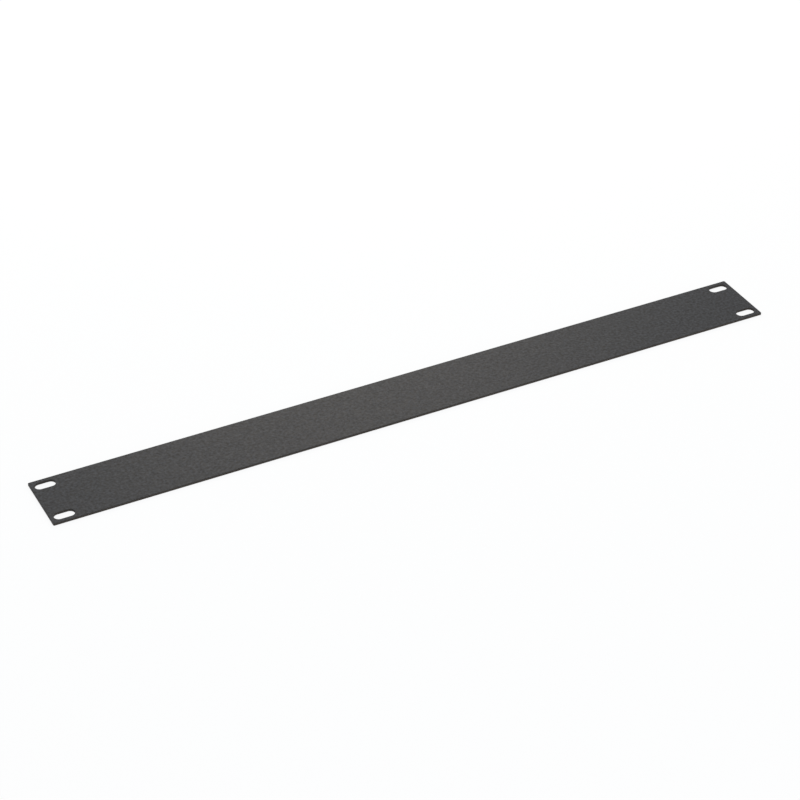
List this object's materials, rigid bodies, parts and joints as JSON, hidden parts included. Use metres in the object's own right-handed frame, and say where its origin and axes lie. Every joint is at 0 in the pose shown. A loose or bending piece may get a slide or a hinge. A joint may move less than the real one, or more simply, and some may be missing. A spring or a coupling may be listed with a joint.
{
  "type": "rack blanking panel",
  "caption": "Flat, black coated steel panel with round-ended screw slots at its ends, which closes an unused space in the front of a 19 inch rack.",
  "frame": {"origin": "centre of the flat back face, which seats on the rack's rails and on which the panel lies", "axes": "+X along the panel's length, +Y across it towards the upper slots, +Z out of the front face"},
  "size_m": [0.4826, 0.0436, 0.0015],
  "materials": {
    "powder_coated_steel": "fine textured black powder coat, satin"
  },
  "bodies": {
    "root": {"blanking_panel": "powder_coated_steel"}
  },
  "joints": []
}
